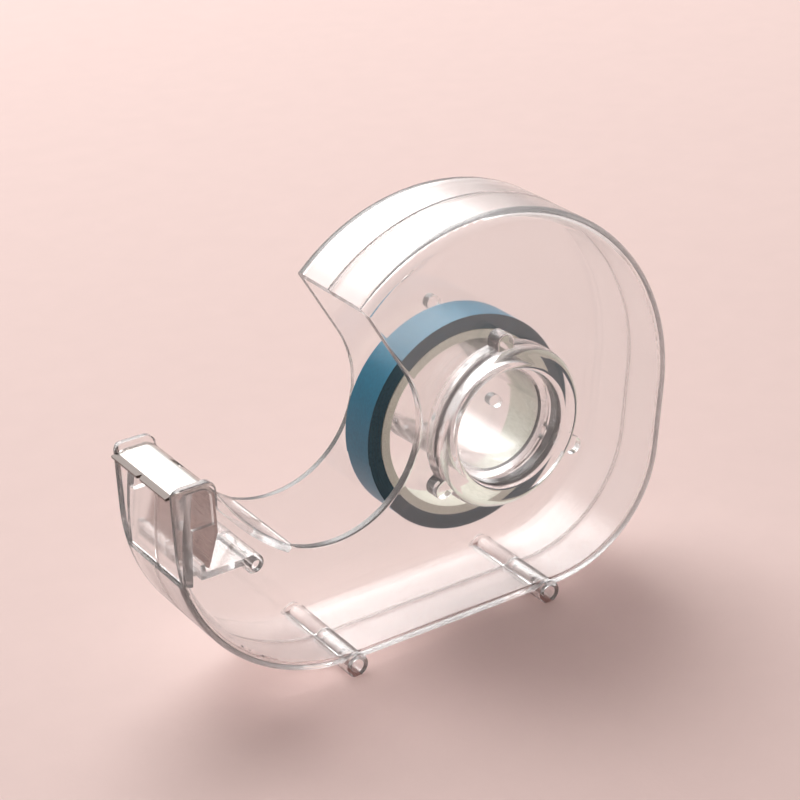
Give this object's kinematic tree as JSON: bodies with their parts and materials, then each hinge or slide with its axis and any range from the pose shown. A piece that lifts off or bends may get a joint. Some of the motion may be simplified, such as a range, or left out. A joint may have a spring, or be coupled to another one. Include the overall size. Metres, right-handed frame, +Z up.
{
  "type": "tape dispenser",
  "caption": "Small clear hand-held tape dispenser: two snap-together shells, a folded toothed steel blade and a narrow tape roll turning on a hub tube.",
  "frame": {"origin": "on the hub axis, on the seam between the two shells", "axes": "+Z up as it stands on its two cross bars, -X towards the cutter blade, +Y along the hub axis towards the rear shell"},
  "size_m": [0.0812, 0.0215, 0.0619],
  "materials": {
    "clear_shell": "clear polished polystyrene",
    "blade_steel": "bright rolled stainless strip",
    "core_card": "plain smooth card",
    "tape_paper": "satin crepe-free paper tape"
  },
  "bodies": {
    "rear": {"rear_shell": "clear_shell", "cutter_blade": "blade_steel"},
    "front": {"front_shell": "clear_shell"},
    "roll": {"tape_core": "core_card", "tape_winding": "tape_paper"}
  },
  "joints": [
    {"name": "roll_spin", "type": "hinge", "parent": "rear", "child": "roll", "pos_m": [0, 0.0023, -0.00338], "axis": [0, 1, 0], "continuous": true},
    {"name": "front_shell_off", "type": "slide", "parent": "rear", "child": "front", "axis": [0, -1, 0], "range_m": [0, 0.03]}
  ]
}
